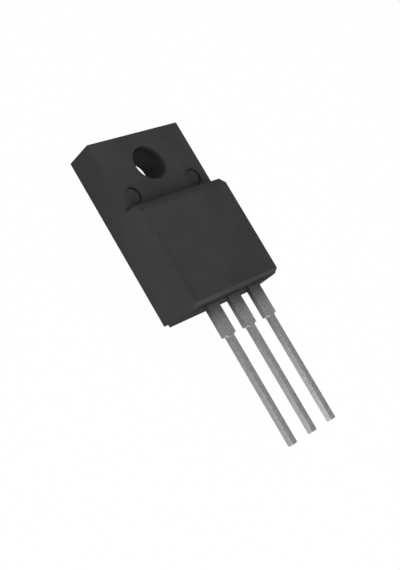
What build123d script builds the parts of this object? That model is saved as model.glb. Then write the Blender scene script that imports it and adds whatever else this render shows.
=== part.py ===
# Schottky diode in a fully moulded three-lead power package, in millimetres.
# X runs across the body, +Y from the leads to the tab, +Z from the back face to the front face.
# The origin is on the axis of the mounting hole, at the back face.
from build123d import *
from math import pi, radians, sin, tan
import os

# Moulding
body_width = 10.3
body_length = 15.72
body_thickness = 4.45
tab_length = 6.35  # free end of the tab to the wall of the raised part
tab_thickness = 2.9
raised_draft = 6.0  # degrees, on the two sides of the raised part
top_bevel_run = 0.7
top_bevel_drop = 0.55
lead_end_bevel_run = 0.3
lead_end_bevel_drop = 0.6
back_step_run = 0.33
back_step_height = 0.56
moulding_edge_radius = 0.05
bevel_edge_radius = 0.25  # where the two bevels meet the front face

hole_diameter = 3.1
hole_to_tab_end = 2.79
hole_rim_radius = 0.2  # on the front face only
pin_mark_diameter = 1.5
pin_mark_spacing = 7.1
pin_mark_to_tab_end = 5.16
pin_mark_depth = 0.08
pin_groove_depth = 0.17  # round the foot of each mark
pin_groove_width = 0.1

# Leads
lead_pitch = 2.54
lead_thickness = 0.55
lead_back_height = 2.96  # back face of the moulding to the back of the leads
lead_length = 12.65  # outside the moulding
lead_width = 0.68
shoulder_length = 2.89
shoulder_width = 1.32
shoulder_fillet = 0.18
tip_corner = 0.06  # cut off each corner of the tip
lead_edge_radius = 0.1

# Lead frame inside the moulding
post_inset = 0.6  # lead end of the moulding to the bond post
post_length = 1.7
post_width = 2.0
pad_inset = 3.3  # lead end of the moulding to the die pad
pad_thickness = 1.2
pad_back_cover = 0.65
pad_side_cover = 1.3
pad_hole_clearance = 1.0
pad_end = 1.2  # hole axis to the pad's far end
neck_start = 0.5  # lead end of the moulding to the start of the bent strip
neck_joint = 0.75  # lead end of the moulding to the end of the flat lead
neck_inset = 1.0  # lead end of the moulding to the first bend
neck_overlap = 0.5
bend_radius = 0.45  # of the strip's middle

# Chips and wires
die_size = 2.4
die_thickness = 0.28
die_spacing = 3.8
die_setback = 1.2  # pad edge to chip edge
solder_thickness = 0.06
solder_margin = 0.12  # how far the solder spreads past the chip
wire_diameter = 0.38
wire_squash = 0.2  # share of the diameter that the bonding tool flattens
wire_foot = 0.8
wire_rise = 0.9  # height of the loop over the line between its two feet
wire_runs = 6  # straight runs between the feet

# Places worked out from the sizes above
tab_end_y = hole_to_tab_end
lead_end_y = tab_end_y - body_length
wall_y = tab_end_y - tab_length
front_z = body_thickness
lead_mid_z = lead_back_height + lead_thickness / 2
lead_front_z = lead_back_height + lead_thickness
tip_y = lead_end_y - lead_length
shoulder_y = lead_end_y - shoulder_length
pad_front_z = pad_back_cover + pad_thickness
pad_y = lead_end_y + pad_inset
pad_width = body_width - 2 * pad_side_cover
die_y = pad_y + die_setback + die_size / 2
die_back_z = pad_front_z + solder_thickness
die_front_z = die_back_z + die_thickness


def box_between(low, high):
    """A block from its low corner to its high corner."""
    size = [b - a for a, b in zip(low, high)]
    centre = [(a + b) / 2 for a, b in zip(low, high)]
    return Pos(*centre) * Box(*size)


def rounded(points, radii):
    """Closed outline with an arc at each corner as a flat face; radii holds the corners that differ."""
    corners = [Vector(*point) for point in points]
    starts, edges, ends = [], [], []
    for before, corner, after in zip(corners[-1:] + corners, corners, corners[1:] + corners[:1]):
        to_before = (before - corner).normalized()
        to_after = (after - corner).normalized()
        half_angle = radians(to_before.get_angle(to_after)) / 2
        radius = radii.get((corner.X, corner.Y), moulding_edge_radius)
        if radius == 0:
            starts.append(corner)
            ends.append(corner)
            continue
        run = radius / tan(half_angle)
        depth = radius / sin(half_angle) - radius
        starts.append(corner + to_before * run)
        ends.append(corner + to_after * run)
        middle = corner + (to_before + to_after).normalized() * depth
        edges.append(ThreePointArc(starts[-1], middle, ends[-1]))
    edges += [Line(end, start) for end, start in zip(ends, starts[1:] + starts[:1])]
    return make_face(edges)


def moulding_block(side, end, plan, radii):
    """The part of space that lies inside a side profile, an end profile and a plan."""
    across = extrude(Plane.YZ * rounded(side, radii), body_width, both=True)
    # Plane.XZ faces -Y, so the end profile is carried back from beyond the tab's free end
    along = extrude(Plane.XZ.offset(-2 * tab_end_y) * rounded(end, radii), 2 * body_length)
    upright = extrude(Plane.XY * rounded(plan, {}), 2 * front_z, both=True)
    return across & along & upright


def moulding_shell():
    """The moulding's outer form: a slab as thick as the tab, and the raised part over its lead end."""
    half = body_width / 2
    inset = (front_z - tab_thickness) * tan(radians(raised_draft))
    top_bevel_foot = (wall_y - top_bevel_run, front_z)
    lead_end_bevel_foot = (lead_end_y + lead_end_bevel_run, front_z)
    side = [
        (lead_end_y + back_step_run, 0),
        (tab_end_y, 0),
        (tab_end_y, tab_thickness),
        (wall_y, tab_thickness),
        (wall_y, front_z - top_bevel_drop),
        top_bevel_foot,
        lead_end_bevel_foot,
        (lead_end_y, front_z - lead_end_bevel_drop),
        (lead_end_y, back_step_height),
        (lead_end_y + back_step_run, back_step_height),
    ]
    slab_end = [(-half, 0), (half, 0), (half, tab_thickness), (-half, tab_thickness)]
    draft_starts = [(half, tab_thickness), (-half, tab_thickness)]
    raised_end = [(-half, 0), (half, 0), draft_starts[0], (half - inset, front_z), (inset - half, front_z)]
    raised_end.append(draft_starts[1])
    slab_plan = [(-half, lead_end_y), (half, lead_end_y), (half, tab_end_y), (-half, tab_end_y)]
    raised_plan = [(-half, lead_end_y), (half, lead_end_y), (half, wall_y), (-half, wall_y)]
    radii = {top_bevel_foot: bevel_edge_radius, lead_end_bevel_foot: bevel_edge_radius}
    radii.update({start: 0 for start in draft_starts})
    slab = moulding_block(side, slab_end, slab_plan, {})
    raised = moulding_block(side, raised_end, raised_plan, radii)
    return slab + raised


def with_mounting_hole(shell):
    """The shell with its through hole, rounded at the front rim."""
    shell -= Cylinder(hole_diameter / 2, 2 * front_z)
    rims = shell.edges().filter_by(lambda edge: edge.is_closed)
    return fillet(rims.sort_by(Axis.Z)[-1], hole_rim_radius)


def pin_marks():
    """Shallow round marks that the ejector pins leave on the front of the tab, grooved round the foot."""
    radius = pin_mark_diameter / 2
    groove = Cylinder(radius, 2 * pin_groove_depth)
    groove -= Cylinder(radius - pin_groove_width, 2 * pin_groove_depth)
    mark = Cylinder(radius, 2 * pin_mark_depth) + groove
    mark_y = tab_end_y - pin_mark_to_tab_end
    return [Pos(side * pin_mark_spacing / 2, mark_y, tab_thickness) * mark for side in (-1, 1)]


def flat_lead(lead_x, inner_y):
    """One lead from its tip to inner_y inside the moulding, rounded all round its front and its back."""
    narrow = lead_width / 2
    wide = shoulder_width / 2
    outline = Polyline(
        (-wide, inner_y),
        (-wide, shoulder_y),
        (-narrow, shoulder_y),
        (-narrow, tip_y + tip_corner),
        (tip_corner - narrow, tip_y),
        (narrow - tip_corner, tip_y),
        (narrow, tip_y + tip_corner),
        (narrow, shoulder_y),
        (wide, shoulder_y),
        (wide, inner_y),
        close=True,
    )
    blank = make_face(outline)
    shoulder_line = blank.vertices().filter_by_position(Axis.Y, shoulder_y, shoulder_y)
    blank = fillet(shoulder_line.sort_by(Axis.X)[1:3], shoulder_fillet)
    lead = extrude(Pos(lead_x, 0, lead_back_height) * blank, lead_thickness)
    rims = [edge for face in lead.faces().filter_by(Axis.Z) for edge in face.edges()]
    return fillet(rims, lead_edge_radius)


def outer_lead(side):
    """Flat lead with its bond post inside the moulding."""
    lead_x = side * lead_pitch
    post_y = lead_end_y + post_inset
    post = box_between(
        (lead_x - post_width / 2, post_y, lead_back_height),
        (lead_x + post_width / 2, post_y + post_length, lead_front_z),
    )
    return flat_lead(lead_x, post_y + post_length / 2) + post


def centre_lead():
    """Lead, neck bent down to the pad, and the thick pad with its relief round the hole."""
    strip_z = pad_front_z - lead_thickness / 2
    path = FilletPolyline(
        (0, lead_end_y + neck_start, lead_mid_z),
        (0, lead_end_y + neck_inset, lead_mid_z),
        (0, pad_y - lead_thickness / 2, strip_z),
        (0, pad_y + neck_overlap, strip_z),
        radius=bend_radius,
    )
    across = Plane(origin=path @ 0, x_dir=(1, 0, 0), z_dir=(0, 1, 0))
    neck = sweep(across * Rectangle(shoulder_width, lead_thickness), path=path)
    pad = box_between(
        (-pad_width / 2, pad_y, pad_back_cover),
        (pad_width / 2, -pad_end, pad_front_z),
    )
    relief = Cylinder(hole_diameter / 2 + pad_hole_clearance, 2 * front_z)
    return flat_lead(0, lead_end_y + neck_joint) + neck + (pad - relief)


def die(side):
    return Pos(side * die_spacing / 2, die_y, die_back_z + die_thickness / 2) * Box(
        die_size, die_size, die_thickness
    )


def die_solder(side):
    spread = die_size + 2 * solder_margin
    return Pos(side * die_spacing / 2, die_y, pad_front_z + solder_thickness / 2) * Box(
        spread, spread, solder_thickness
    )


def bond_wire(side, chip, lead):
    """Round wire looped from the chip to the post, its two feet pressed flat where they are bonded."""
    foot_rise = wire_diameter * (0.5 - wire_squash)
    post_y = lead_end_y + post_inset + post_length / 2
    chip_bond = Vector(side * die_spacing / 2, die_y, die_front_z + foot_rise)
    post_bond = Vector(side * lead_pitch, post_y, lead_front_z + foot_rise)
    foot = Vector(post_bond.X - chip_bond.X, post_bond.Y - chip_bond.Y).normalized() * (wire_foot / 2)
    loop_start = chip_bond + foot
    span = post_bond - foot - loop_start
    points = [chip_bond - foot]
    for run in range(wire_runs + 1):
        share = run / wire_runs
        points.append(loop_start + span * share + Vector(0, 0, wire_rise * sin(pi * share)))
    points.append(post_bond + foot)
    path = Polyline(*points)
    wire = sweep((path ^ 0) * Circle(wire_diameter / 2), path=path, transition=Transition.RIGHT)
    return wire - chip - lead


os.makedirs("parts", exist_ok=True)
parts = {"centre_lead": centre_lead()}
for name, side in (("left", -1), ("right", 1)):
    parts[name + "_lead"] = outer_lead(side)
    parts[name + "_die_solder"] = die_solder(side)
    parts[name + "_die"] = die(side)
    parts[name + "_bond_wire"] = bond_wire(side, parts[name + "_die"], parts[name + "_lead"])
parts["moulded_body"] = with_mounting_hole(moulding_shell()) - pin_marks() - list(parts.values())

for name, shape in parts.items():
    shape.label = name
    export_step(shape, f"parts/{name}.step")
    size = shape.bounding_box().size
    print(f"{name}: {size.X:.3f} x {size.Y:.3f} x {size.Z:.3f} mm, {shape.volume:.3f} mm3")
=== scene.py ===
# Schottky diode in a fully moulded package, dressed for a studio render.
# Lengths are in metres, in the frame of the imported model: x across the body, y toward the tab, z out of the front.
import bpy
from math import cos, radians, sin
from mathutils import Matrix, Vector

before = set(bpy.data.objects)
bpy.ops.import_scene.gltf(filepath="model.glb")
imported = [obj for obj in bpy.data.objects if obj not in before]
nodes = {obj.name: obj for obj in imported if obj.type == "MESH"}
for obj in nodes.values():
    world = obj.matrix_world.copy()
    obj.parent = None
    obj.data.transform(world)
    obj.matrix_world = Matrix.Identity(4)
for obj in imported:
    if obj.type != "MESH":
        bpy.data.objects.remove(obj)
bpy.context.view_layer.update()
mm = 0.001
print("frame loaded:", len(nodes), "nodes")

# the camera stands on a sphere round the aim point and is turned about its line of sight by the roll
shot = {
    "aim": Vector((-1.52, -11.03, 2.2)) * mm,
    "azimuth": -79.14,
    "elevation": 45.89,
    "roll": 51.81,
    "distance": 80.88 * mm,
    "lens": 63.57,
    "nearest": 1 * mm,
    "farthest": 10,
}


def makeCamera(shot):
    azimuth, elevation = radians(shot["azimuth"]), radians(shot["elevation"])
    back = Vector((sin(azimuth) * cos(elevation), -cos(azimuth) * cos(elevation), sin(elevation)))
    data = bpy.data.cameras.new("camera")
    data.lens = shot["lens"]
    data.clip_start = shot["nearest"]
    data.clip_end = shot["farthest"]
    camera = bpy.data.objects.new("camera", data)
    bpy.context.collection.objects.link(camera)
    level = (-back).to_track_quat("-Z", "Y").to_matrix()
    turned = level @ Matrix.Rotation(radians(shot["roll"]), 3, "Z")
    camera.matrix_world = Matrix.LocRotScale(shot["aim"] + back * shot["distance"], turned.to_quaternion(), None)
    bpy.context.scene.camera = camera


makeCamera(shot)
print("camera placed")


# a shader tree is filled node by node, and an input takes either a value or another node's socket

def feed(tree, socket, value):
    if isinstance(value, bpy.types.NodeSocket):
        tree.links.new(value, socket)
    else:
        socket.default_value = value


def addNode(tree, kind, settings=None, **inputs):
    node = tree.nodes.new("ShaderNode" + kind)
    for key, value in (settings or {}).items():
        setattr(node, key, value)
    for key, value in inputs.items():
        numbered = key[0] == "i" and key[1:].isdigit()  # i0 is the first input, and other keys are names
        feed(tree, node.inputs[int(key[1:]) if numbered else key.replace("_", " ")], value)
    return node


def calc(tree, operation, first, second=0.0, clamp=False):
    return addNode(tree, "Math", {"operation": operation, "use_clamp": clamp}, i0=first, i1=second).outputs[0]


def product(tree, first, *others):
    for other in others:
        first = calc(tree, "MULTIPLY", first, other)
    return first


def oneMinus(tree, share):
    return calc(tree, "SUBTRACT", 1.0, share)


def fade(tree, value, span, low=0.0, high=1.0, smooth=False):  # low at the span's first end, high at its second
    settings = {"interpolation_type": "SMOOTHSTEP" if smooth else "LINEAR"}
    return addNode(tree, "MapRange", settings, i0=value, i1=span[0], i2=span[1], i3=low, i4=high).outputs[0]


def ease(tree, value, span, low=0.0, high=1.0):  # the same, with soft ends
    return fade(tree, value, span, low, high, smooth=True)


whole = (0.0, 1.0)
usual = (0.3, 0.7)  # most of a noise lies between these, round its average
average = 0.5


def vary(tree, noise, low, high):
    return fade(tree, noise, usual, low, high)


def blend(tree, share, first, second):
    node = addNode(tree, "Mix", {"data_type": "RGBA"}, i0=share, i6=first, i7=second)
    return node.outputs[2]


def flatGrey(value):
    return (value, value, value, 1)


def greyOf(tree, value):
    return addNode(tree, "CombineColor", i0=value, i1=value, i2=value).outputs[0]


def scaled(tree, colour, tone):
    return addNode(tree, "VectorMath", {"operation": "SCALE"}, i0=colour, Scale=tone).outputs[0]


def distanceOf(tree, offX, offY):
    flat = addNode(tree, "CombineXYZ", i0=offX, i1=offY).outputs[0]
    return addNode(tree, "VectorMath", {"operation": "LENGTH"}, i0=flat).outputs["Value"]


def axesOf(tree, label):  # Object gives where a point lies along each axis, and Normal which way its face looks
    return addNode(tree, "SeparateXYZ", i0=addNode(tree, "TexCoord").outputs[label]).outputs


def newMaterial(name):
    material = bpy.data.materials.new(name)
    material.use_nodes = True
    return material, material.node_tree.nodes["Principled BSDF"], material.node_tree


def addBump(tree, shader, relief, strength, depth):
    bump = addNode(tree, "Bump", Strength=strength, Distance=depth, Height=relief)
    feed(tree, shader.inputs["Normal"], bump.outputs[0])


def newGroup(name, inputs, output):
    group = bpy.data.node_groups.new(name, "ShaderNodeTree")
    for label, value in inputs.items():
        socket = group.interface.new_socket(label, in_out="INPUT", socket_type="NodeSocketFloat")
        socket.default_value = value
    group.interface.new_socket(output, in_out="OUTPUT", socket_type="NodeSocketFloat")
    return group, group.nodes.new("NodeGroupInput").outputs, group.nodes.new("NodeGroupOutput").inputs


def useGroup(tree, group, inputs):
    node = tree.nodes.new("ShaderNodeGroup")
    node.node_tree = group
    for key, value in inputs.items():
        feed(tree, node.inputs[key], value)
    return node.outputs[0]


def dress(names, material):
    for name in names:
        nodes[name].data.materials.clear()
        nodes[name].data.materials.append(material)


# noise on the object's own coordinates, in cells per millimetre across (x and z) and along (y)
grain, given, made = newGroup("grain", {"Across": 8.0, "Along": 8.0, "Detail": 3.0, "Roughness": 0.55}, "Value")
place = addNode(grain, "TexCoord").outputs["Object"]
perMetre = [product(grain, given[label], 1 / mm) for label in ("Across", "Along")]
stretch = addNode(grain, "CombineXYZ", i0=perMetre[0], i1=perMetre[1], i2=perMetre[0]).outputs[0]
cells = addNode(grain, "VectorMath", {"operation": "MULTIPLY"}, i0=place, i1=stretch).outputs[0]
noise = addNode(grain, "TexNoise", Vector=cells, Scale=1.0, Detail=given["Detail"], Roughness=given["Roughness"])
feed(grain, made["Value"], noise.outputs[0])

# rays sent inward from a flat hit nothing near by, and those from an outer edge do: 0 on a flat rises to 1 on the edge
wearLook = {
    "rays": 8,
    "openness": (0.55, 0.95),  # share of rays that hit nothing on a worn edge, and on a flat
    "patches": {"Across": 3.0, "Along": 3.0, "Detail": 4.0},
    "patchRise": 0.2,  # the wear comes and goes within this much of the noise above Breakup
    "patchLeast": 0.3,
}
edgeWear, given, made = newGroup("edgeWear", {"Reach": 0.2 * mm, "Breakup": 0.5}, "Mask")
settings = {"inside": True, "only_local": True, "samples": wearLook["rays"]}
openness = addNode(edgeWear, "AmbientOcclusion", settings, Distance=given["Reach"]).outputs["AO"]
worn = ease(edgeWear, openness, wearLook["openness"], 1.0, 0.0)
rise = (given["Breakup"], calc(edgeWear, "ADD", given["Breakup"], wearLook["patchRise"]))
patch = fade(edgeWear, useGroup(edgeWear, grain, wearLook["patches"]), rise, wearLook["patchLeast"], 1.0)
feed(edgeWear, made["Mask"], product(edgeWear, worn, patch))
print("shared groups built: grain, edgeWear")

# moulding compound: matt, with the fine eroded skin of its mould and a little cloudy
# a share is the part by which it darkens the tone, and a negative one makes it paler
epoxyLook = {
    "colour": 0.049,
    "roughness": (0.7, 0.82),
    "specular": 0.03,
    "clouds": {"Across": 0.35, "Along": 0.35, "Detail": 3.0},
    "cloudShare": 0.09,  # the colour drifts by this much over a few millimetres
    "filler": {"Across": 13.0, "Along": 13.0, "Detail": 4.0, "Roughness": 0.7},
    "fillerShare": 0.06,  # and by this much from one grain of filler to the next
    "skin": {"Across": 22.0, "Along": 22.0, "Detail": 2.0, "Roughness": 0.6},
    "skinDepth": 0.002 * mm,
    "skinBump": 0.6,
    "waver": 0.3 * mm,  # the clouds shift every height below by up to half of this, so that no line is dead straight
    "wear": {"Reach": 0.2 * mm, "Breakup": 0.4},
    "wearShare": 0.18,  # outer edges are a shade darker in patches
    "wearPolish": 0.12,  # and smoother
    "facingUp": (0.8, 0.95),
    "leadEnd": {
        "reach": (-12.51 * mm, -12.68 * mm),
        "unworn": (-4.7 * mm, -4.0 * mm),  # its left corner shows no wear
        "core": 0.4,  # the painted shade line and highlight strip are full over this share of their width, and fade beyond
        "seam": 3.48 * mm,  # painted shade: a dark line along the face where the leads leave it
        "seamHalf": 0.66 * mm,
        "seamFrom": (-5.0 * mm, -4.3 * mm),
        "seamShare": 0.5,
        "rim": 4.28 * mm,  # a painted highlight strip above it, stronger on the left
        "rimHalf": 0.3 * mm,
        "rimFrom": (-5.2 * mm, -4.7 * mm),
        "rimAcross": (-4.0 * mm, -1.5 * mm),
        "rimStrength": (1.1, 0.7),
        "rimShare": -0.3,
        "lowerFacing": (-0.3, -0.8),
        "lowerHeight": (3.7 * mm, 3.3 * mm),
        "lowerTo": (-2.9 * mm, -2.2 * mm),
        "lowerShare": 0.32,  # painted shade: below the shade line the face is darker on the left, as far as the first lead
    },
    "bore": {
        "radius": (1.58 * mm, 1.64 * mm),  # the wall lies just inside the first
        "height": (2.85 * mm, 2.3 * mm),  # the painted shade on the wall begins just below its upper edge, which keeps the tone of the face round it
        "share": 0.6,  # painted shade: the wall is darker on its tab side
        "dustyFacing": (-0.9, 0.9),  # and painted light makes it paler on the lead side
        "dustyPower": 2.0,
        "dustyShare": 1.2,
        "backHeight": (2.1 * mm, 0.4 * mm),  # and toward its back end
        "backShare": 0.85,
    },
    "marks": {
        "x": 3.55 * mm,
        "y": -2.37 * mm,
        "ring": 0.7 * mm,  # painted shade on the rings of the ejector pin marks: darker on the right, fading on the left
        "ringHalf": (0.08 * mm, 0.14 * mm),
        "ringHeight": (1.8 * mm, 2.2 * mm),
        "ringAcross": (-0.6 * mm, 0.6 * mm),
        "ringShare": 0.3,
        "smudge": (0.5 * mm, 1.3 * mm),  # the tone is darker round the right mark
        "smudgeFrom": (0.0, 1.0 * mm),
        "smudgeHeight": (2.4 * mm, 2.7 * mm),
        "smudgeShare": 0.15,
    },
    "frontEdges": {
        "bevelFacing": (0.1, 0.35),
        "bevelAlong": (-3.5 * mm, -4.4 * mm),  # a painted highlight makes the tab-side bevel paler toward the front face
        "bevelShare": -0.16,
        "creaseX": 4.75 * mm,  # a faint broken line of painted shade runs along each side of the front face
        "creaseHalf": (0.03 * mm, 0.17 * mm),
        "creaseHeight": (4.15 * mm, 4.35 * mm),
        "creaseShare": 0.14,
        "dashes": {"Across": 1.7, "Along": 1.7, "Detail": 2.0},
        "dashSpan": (0.46, 0.58),
        "dashLeast": 0.1,
    },
    # slow drifts of tone, partly the moulding's own and partly painted light and shade
    "driftsAndShade": {
        "sideFacing": (0.5, 0.9),
        "sideAlong": (1.0 * mm, -7.5 * mm),
        "sideShares": (0.08, -0.11),  # the sides are darker by the tab's end and paler toward the leads
        "sideEnd": (-12.6 * mm, -11.4 * mm),
        "sideHeight": (1.9 * mm, 2.9 * mm),
        "sideUpper": 0.45,  # and less so high up
        "frontAlong": (-9.8 * mm, -12.3 * mm),
        "frontLower": 0.06,  # the front face is darker toward the leads
        "frontAcross": (-0.5 * mm, 1.0 * mm),
        "frontRight": 0.045,  # and on the right
        "frontHeight": (3.6 * mm, 4.2 * mm),
        "tabAcross": (-1.5 * mm, -2.6 * mm),
        "tabAlong": (-0.6 * mm, 0.8 * mm),
        "tabShare": -0.09,  # the tab is paler on the left of the hole
    },
}


def leadEndShares(tree, look, across, height, faceY, atEnd):
    def band(level, half):
        off = calc(tree, "ABSOLUTE", calc(tree, "SUBTRACT", height, level))
        return product(tree, ease(tree, off, (half * look["core"], half), 1.0, 0.0), atEnd)

    # painted shade along the lead end where the leads leave the moulding
    seam = product(tree, band(look["seam"], look["seamHalf"]), ease(tree, across, look["seamFrom"]))
    # painted highlight: a paler strip along the bevel above the shade line
    rim = product(tree, band(look["rim"], look["rimHalf"]), ease(tree, across, look["rimFrom"]),
                  fade(tree, across, look["rimAcross"], *look["rimStrength"]))
    # painted shade on the lower lead-end face
    lowerShade = product(tree, ease(tree, faceY, look["lowerFacing"], 0.0, look["lowerShare"]),
                    ease(tree, height, look["lowerHeight"]), ease(tree, across, look["lowerTo"], 1.0, 0.0))
    return [fade(tree, seam, whole, 0.0, look["seamShare"]), fade(tree, rim, whole, 0.0, look["rimShare"]), lowerShade]


def boreShadeShare(tree, look, across, along, height, faceY):
    # painted shade inside the hole, lifted by painted light on the lead side and toward the back
    inside = product(tree, fade(tree, distanceOf(tree, across, along), look["radius"], 1.0, 0.0),
                     ease(tree, height, look["height"]))
    liftedSide = calc(tree, "POWER", fade(tree, faceY, look["dustyFacing"]), look["dustyPower"])
    paintedLift = calc(tree, "ADD", product(tree, liftedSide, look["dustyShare"]),
                fade(tree, height, look["backHeight"], 0.0, look["backShare"]))
    return product(tree, inside, calc(tree, "SUBTRACT", look["share"], paintedLift))


def markShares(tree, look, across, along, height):
    offX = calc(tree, "SUBTRACT", across, product(tree, calc(tree, "SIGN", across), look["x"]))
    off = distanceOf(tree, offX, calc(tree, "SUBTRACT", along, look["y"]))
    offRing = calc(tree, "ABSOLUTE", calc(tree, "SUBTRACT", off, look["ring"]))
    # painted shade on the pin-mark rings
    ring = product(tree, ease(tree, offRing, look["ringHalf"], 1.0, 0.0), fade(tree, height, look["ringHeight"]),
                   fade(tree, offX, look["ringAcross"], -look["ringShare"], look["ringShare"]))
    smudge = product(tree, ease(tree, off, look["smudge"], look["smudgeShare"], 0.0),
                     fade(tree, across, look["smudgeFrom"]), fade(tree, height, look["smudgeHeight"]))
    return [ring, smudge]


def frontEdgeShares(tree, look, across, along, height, faceY):
    # painted highlight on the tab-side bevel
    bevel = product(tree, ease(tree, faceY, look["bevelFacing"]),
                    ease(tree, along, look["bevelAlong"], 0.0, look["bevelShare"]))
    # painted shade along the edges of the front face
    off = calc(tree, "ABSOLUTE", calc(tree, "SUBTRACT", calc(tree, "ABSOLUTE", across), look["creaseX"]))
    creaseShade = product(tree, ease(tree, off, look["creaseHalf"], look["creaseShare"], 0.0),
                     fade(tree, height, look["creaseHeight"]),
                     ease(tree, useGroup(tree, grain, look["dashes"]), look["dashSpan"], look["dashLeast"], 1.0))
    return [bevel, creaseShade]


# drifts of tone that are partly painted light and shade
def driftAndShadeShares(tree, look, across, along, height, faceX, upward):
    sides = product(tree, fade(tree, calc(tree, "ABSOLUTE", faceX), look["sideFacing"]),
                    ease(tree, along, look["sideAlong"], *look["sideShares"]), fade(tree, along, look["sideEnd"]),
                    ease(tree, height, look["sideHeight"], 1.0, look["sideUpper"]))
    front = calc(tree, "ADD", fade(tree, along, look["frontAlong"], 0.0, look["frontLower"]),
                 ease(tree, across, look["frontAcross"], 0.0, look["frontRight"]))
    front = product(tree, front, upward, fade(tree, height, look["frontHeight"]))
    tab = product(tree, ease(tree, across, look["tabAcross"], 0.0, look["tabShare"]),
                  ease(tree, along, look["tabAlong"]), upward)
    return [sides, front, tab]


def epoxyMaterial(look):
    material, shader, tree = newMaterial("blackEpoxy")
    clouds, filler, skin = [useGroup(tree, grain, look[key]) for key in ("clouds", "filler", "skin")]
    across, along, height = axesOf(tree, "Object")
    faceX, faceY, faceZ = axesOf(tree, "Normal")
    height = calc(tree, "ADD", height, product(tree, calc(tree, "SUBTRACT", clouds, average), look["waver"]))
    upward = fade(tree, faceZ, look["facingUp"])
    atEnd = ease(tree, along, look["leadEnd"]["reach"])
    unworn = product(tree, atEnd, ease(tree, across, look["leadEnd"]["unworn"], 1.0, 0.0))
    worn = product(tree, useGroup(tree, edgeWear, look["wear"]), oneMinus(tree, unworn))
    shares = [
        fade(tree, worn, whole, 0.0, look["wearShare"]),
        *leadEndShares(tree, look["leadEnd"], across, height, faceY, atEnd),
        boreShadeShare(tree, look["bore"], across, along, height, faceY),
        *markShares(tree, look["marks"], across, along, height),
        *frontEdgeShares(tree, look["frontEdges"], across, along, height, faceY),
        *driftAndShadeShares(tree, look["driftsAndShade"], across, along, height, faceX, upward),
    ]
    tone = product(tree, vary(tree, clouds, 1 - look["cloudShare"], 1 + look["cloudShare"]),
                   vary(tree, filler, 1 - look["fillerShare"], 1 + look["fillerShare"]),
                   *[oneMinus(tree, share) for share in shares])
    feed(tree, shader.inputs["Base Color"], greyOf(tree, product(tree, tone, look["colour"])))
    rough = calc(tree, "SUBTRACT", vary(tree, filler, *look["roughness"]), product(tree, worn, look["wearPolish"]))
    feed(tree, shader.inputs["Roughness"], rough)
    addBump(tree, shader, skin, look["skinBump"], look["skinDepth"])
    shader.inputs["Specular IOR Level"].default_value = look["specular"]
    return material


dress(["moulded_body"], epoxyMaterial(epoxyLook))
print("moulding dressed")

# tin over stamped copper: fine lines along the lead, duller toward the moulding with painted shade there, bright on
# the sheared shoulder with a painted highlight
tinLook = {
    "colour": 0.337,
    "roughness": (0.36, 0.5),
    "lines": {"Across": 11.0, "Along": 5.0, "Detail": 3.0, "Roughness": 0.6},
    "lineShare": 0.21,
    "lineDepth": 0.003 * mm,
    "lineBump": 0.35,
    "flecks": {"Across": 7.0, "Along": 4.0, "Detail": 3.0},
    "fleckShare": 0.18,
    "pitch": 2.54 * mm,
    "shoulder": -15.82 * mm,
    "tip": -25.58 * mm,
    "rootDullShadeColour": 0.09,
    "rootNear": (-15.3 * mm, -13.0 * mm),  # most of the dullness and painted shade toward the moulding begins here
    "rootFar": (-17.0 * mm, -13.0 * mm),  # and the rest of it here
    "rootShares": (0.8, 0.2),
    "rootPatches": {"Across": 0.8, "Along": 0.4, "Detail": 2.0},
    "rootSpread": 0.1,
    "rootRough": 0.1,
    "flankFacing": (0.4, 0.85),
    "flankSheenGain": 0.22,  # painted reflection: how much brighter the sheared flanks are painted than the rolled faces, once clear of the shoulder
    "flankClear": 4.5 * mm,
    "flankTipSheen": 0.5,  # and how much more at the tips
    "flankAcross": (0.64, 1.5),  # from the left lead to the right one
    "flankCalm": 0.7,  # the share of the lines that shows on them
    "lowHeight": (2.98 * mm, 3.12 * mm),  # low down they are darker with painted shade
    "lowShade": 0.12,
    "leftBand": (-0.02 * mm, -0.3 * mm),  # a painted highlight: the left part of each front face fades into the flank's brightness
    "leftReach": (1.0 * mm, 5.0 * mm),
    "leftHighlightGain": 0.22,
    "rightBand": (0.12 * mm, 0.34 * mm),  # and painted shade darkens its right edge
    "rightReach": 1.0 * mm,
    "rightShadeShare": 0.12,
    "edge": (0.1, 0.45),  # painted shade darkens the rounded edges
    "edgeShade": 0.05,
    "cutHighlightColour": 0.95,  # bare metal where the bar between the leads was trimmed away, whitened as a painted highlight
    "cutFacing": (-0.35, -0.75),
    "cutReach": (0.5 * mm, 0.25 * mm),
    "cutAcross": (0.34 * mm, 0.5 * mm),
    "cutLeast": 0.15,
    "cutPolish": 0.2,
}


def tinLightAndShade(tree, look, across, along, height, flat, sideways, faceZ, middle):
    shoulder = look["shoulder"]
    # painted reflection on the flanks, with painted shade low down
    clear = ease(tree, along, (shoulder, shoulder - look["flankClear"]), 0.0, look["flankSheenGain"])
    tipward = fade(tree, along, (shoulder, look["tip"]), 0.0, look["flankTipSheen"])
    perLead = fade(tree, across, (-look["pitch"], look["pitch"]), *look["flankAcross"])
    flank = calc(tree, "SUBTRACT", product(tree, calc(tree, "ADD", clear, tipward), perLead),
                 ease(tree, height, look["lowHeight"], look["lowShade"], 0.0))
    # painted highlight on the left of each front face, painted shade on its right edge
    leftSpan = [shoulder - reach for reach in look["leftReach"]]
    left = product(tree, ease(tree, middle, look["leftBand"], 0.0, look["leftHighlightGain"]), ease(tree, along, leftSpan))
    right = product(tree, ease(tree, middle, look["rightBand"], 0.0, look["rightShadeShare"]),
                    fade(tree, along, (shoulder, shoulder - look["rightReach"])))
    face = product(tree, calc(tree, "SUBTRACT", left, right), oneMinus(tree, sideways))
    gain = calc(tree, "ADD", calc(tree, "ADD", 1.0, face), product(tree, sideways, flank))
    # painted shade on the rounded edges
    rounded = product(tree, flat, calc(tree, "ABSOLUTE", faceZ))
    return calc(tree, "SUBTRACT", gain, ease(tree, rounded, look["edge"], 0.0, look["edgeShade"]))


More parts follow.
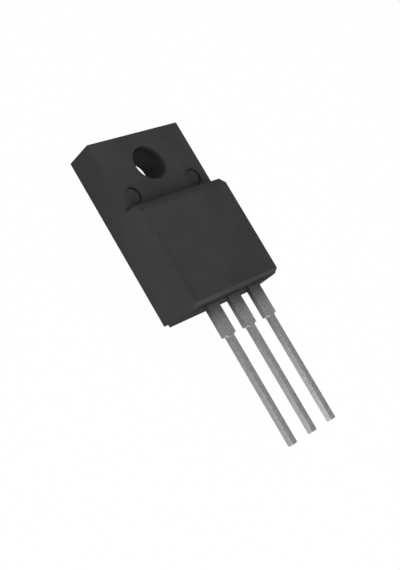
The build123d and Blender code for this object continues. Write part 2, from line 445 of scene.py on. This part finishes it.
def tinMaterial(look):
    material, shader, tree = newMaterial("tinPlate")
    lines, flecks, rootPatches = [useGroup(tree, grain, look[key]) for key in ("lines", "flecks", "rootPatches")]
    across, along, height = axesOf(tree, "Object")
    faceX, faceY, faceZ = axesOf(tree, "Normal")
    leadMiddle = calc(tree, "SNAP", calc(tree, "ADD", across, look["pitch"] / 2), look["pitch"])
    middle = calc(tree, "SUBTRACT", across, leadMiddle)
    # the tin toward the moulding is duller, and darker with painted shade
    rootDullShade = calc(tree, "ADD", ease(tree, along, look["rootNear"], 0.0, look["rootShares"][0]),
                fade(tree, along, look["rootFar"], 0.0, look["rootShares"][1]))
    patches = vary(tree, rootPatches, 1 - look["rootSpread"], 1 + look["rootSpread"])
    rootDullShade = calc(tree, "MULTIPLY", rootDullShade, patches, clamp=True)
    base = blend(tree, rootDullShade, flatGrey(look["colour"]), flatGrey(look["rootDullShadeColour"]))
    flat = calc(tree, "ABSOLUTE", faceX)
    sideways = ease(tree, flat, look["flankFacing"])
    calm = fade(tree, sideways, whole, 1.0, look["flankCalm"])
    tone = product(tree, vary(tree, lines, 1 - look["lineShare"], 1 + look["lineShare"]),
                   vary(tree, flecks, 1 - look["fleckShare"], 1 + look["fleckShare"]))
    tone = calc(tree, "ADD", 1.0, product(tree, calc(tree, "SUBTRACT", tone, 1.0), calm))
    tone = product(tree, tone, tinLightAndShade(tree, look, across, along, height, flat, sideways, faceZ, middle))
    # bare metal at the shoulder, whitened as a painted highlight
    cutSpan = [look["shoulder"] - reach for reach in look["cutReach"]]
    cutAndHighlight = product(tree, ease(tree, faceY, look["cutFacing"]), ease(tree, along, cutSpan),
                  fade(tree, calc(tree, "ABSOLUTE", middle), look["cutAcross"], look["cutLeast"], 1.0))
    feed(tree, shader.inputs["Base Color"], blend(tree, cutAndHighlight, scaled(tree, base, tone), flatGrey(look["cutHighlightColour"])))
    rough = calc(tree, "ADD", vary(tree, lines, *look["roughness"]), product(tree, rootDullShade, look["rootRough"]))
    feed(tree, shader.inputs["Roughness"], calc(tree, "SUBTRACT", rough, product(tree, cutAndHighlight, look["cutPolish"])))
    addBump(tree, shader, lines, product(tree, calm, look["lineBump"]), look["lineDepth"])
    shader.inputs["Metallic"].default_value = 1
    return material


dress(["left_lead", "centre_lead", "right_lead"], tinMaterial(tinLook))
print("leads dressed")

# under the moulding: silicon sawn from its wafer, with a metal top inside a dark guard ring
dieLook = {
    "silicon": (0.085, 0.09, 0.11),
    "metal": (0.72, 0.72, 0.7),
    "metalFacing": (0.6, 0.8),
    "guardRing": {"Reach": 0.1 * mm, "Breakup": 0.2},
    "guardSpan": (0.1, 0.4),
    "sawMarks": {"Across": 40.0, "Along": 3.0, "Detail": 3.0},
    "sawShare": 0.15,
    "sawDepth": 0.001 * mm,
    "sawBump": 0.4,
    "roughness": (0.22, 0.37),
}


def dieMaterial(look):
    material, shader, tree = newMaterial("silicon")
    saw = useGroup(tree, grain, look["sawMarks"])
    faceZ = axesOf(tree, "Normal")[2]
    guardRing = useGroup(tree, edgeWear, look["guardRing"])
    plated = product(tree, ease(tree, faceZ, look["metalFacing"]), ease(tree, guardRing, look["guardSpan"], 1.0, 0.0))
    base = blend(tree, plated, look["silicon"] + (1,), look["metal"] + (1,))
    tone = vary(tree, saw, 1 - look["sawShare"], 1 + look["sawShare"])
    feed(tree, shader.inputs["Base Color"], scaled(tree, base, tone))
    feed(tree, shader.inputs["Metallic"], plated)
    feed(tree, shader.inputs["Roughness"], vary(tree, saw, *look["roughness"]))
    addBump(tree, shader, saw, look["sawBump"], look["sawDepth"])
    return material


# frosted solder under each die, and soft wires with the fine lines of their drawing
solderLook = {
    "colour": (0.42, 0.42, 0.43),
    "cells": {"Across": 18.0, "Along": 18.0, "Detail": 4.0},
    "share": 0.14,
    "depth": 0.004 * mm,
    "bump": 0.5,
    "roughness": (0.5, 0.6),
}
wireLook = {
    "colour": (0.75, 0.76, 0.77),
    "cells": {"Across": 30.0, "Along": 4.0, "Detail": 4.0},
    "share": 0.07,
    "depth": 0.001 * mm,
    "bump": 0.5,
    "roughness": (0.28, 0.38),
}


def metalMaterial(name, look):
    material, shader, tree = newMaterial(name)
    cells = useGroup(tree, grain, look["cells"])
    tone = vary(tree, cells, 1 - look["share"], 1 + look["share"])
    feed(tree, shader.inputs["Base Color"], scaled(tree, look["colour"], tone))
    feed(tree, shader.inputs["Roughness"], vary(tree, cells, *look["roughness"]))
    addBump(tree, shader, cells, look["bump"], look["depth"])
    shader.inputs["Metallic"].default_value = 1
    return material


dress([name for name in nodes if name.endswith("_die")], dieMaterial(dieLook))
dress([name for name in nodes if "solder" in name], metalMaterial("solder", solderLook))
dress([name for name in nodes if "wire" in name], metalMaterial("aluminiumWire", wireLook))
print("hidden parts dressed")

# pale paper sweep, which the camera sees nearly white and which still takes the object's soft shadow
# it lies a hair under the object, and from below it is clear, so that the back can be looked at as well
stageLook = {
    "half": 0.6,
    "drop": 0.02 * mm,
    "colour": (0.79, 0.81),
    "fibre": {"Across": 0.3, "Along": 0.3, "Detail": 3.0},
    "seenWhite": 0.985,
    "glossWhite": 0.15,
    "world": 0.6,
    "clearWithin": 0.05 * mm,
}


def seenShare(tree, look, rays):
    seen = product(tree, rays["Is Camera Ray"], look["seenWhite"])
    mirrored = calc(tree, "MAXIMUM", rays["Is Glossy Ray"], rays["Is Transmission Ray"])
    return calc(tree, "ADD", seen, product(tree, mirrored, look["glossWhite"]), clamp=True)


def paperMaterial(look):
    material, shader, tree = newMaterial("paper")
    pale = vary(tree, useGroup(tree, grain, look["fibre"]), *look["colour"])
    feed(tree, shader.inputs["Base Color"], greyOf(tree, pale))
    shader.inputs["Roughness"].default_value = 1
    shader.inputs["Specular IOR Level"].default_value = 0
    rays = addNode(tree, "LightPath").outputs
    glow = addNode(tree, "Emission").outputs[0]
    lit = addNode(tree, "MixShader", i0=seenShare(tree, look, rays), i1=shader.outputs[0], i2=glow).outputs[0]
    near = calc(tree, "LESS_THAN", rays["Ray Length"], look["clearWithin"])
    clear = calc(tree, "MAXIMUM", addNode(tree, "NewGeometry").outputs["Backfacing"], near)
    glass = addNode(tree, "BsdfTransparent").outputs[0]
    mixed = addNode(tree, "MixShader", i0=clear, i1=lit, i2=glass).outputs[0]
    tree.links.new(mixed, tree.nodes["Material Output"].inputs[0])
    return material


def makeFloor(look):
    half, low = look["half"], -look["drop"]
    corners = [(-half, -half, low), (half, -half, low), (half, half, low), (-half, half, low)]
    sheet = bpy.data.meshes.new("floor")
    sheet.from_pydata(corners, [], [(0, 1, 2, 3)])
    sheet.materials.append(paperMaterial(look))
    floor = bpy.data.objects.new("floor", sheet)
    bpy.context.collection.objects.link(floor)
    return floor


def makeWorld(look):
    world = bpy.data.worlds.new("world")
    world.use_nodes = True
    tree = world.node_tree
    share = seenShare(tree, look, addNode(tree, "LightPath").outputs)
    feed(tree, tree.nodes["Background"].inputs["Color"], blend(tree, share, flatGrey(look["world"]), flatGrey(1)))
    bpy.context.scene.world = world


# one broad soft lamp stands over the lead end, on the side that the camera sees
lampLook = {"place": (-0.175, -0.24, 0.205), "aim": (0, -0.011, 0), "size": 0.25, "watts": 0.67}


def softLamp(name, look):
    data = bpy.data.lights.new(name, "AREA")
    data.shape = "SQUARE"
    data.size = look["size"]
    data.energy = look["watts"]
    lamp = bpy.data.objects.new(name, data)
    bpy.context.collection.objects.link(lamp)
    place, aim = Vector(look["place"]), Vector(look["aim"])
    lamp.matrix_world = Matrix.LocRotScale(place, (aim - place).to_track_quat("-Z", "Y"), None)


floor = makeFloor(stageLook)
makeWorld(stageLook)
softLamp("key", lampLook)
bpy.context.scene.view_settings.view_transform = "Standard"
print("stage, world and lamp set")
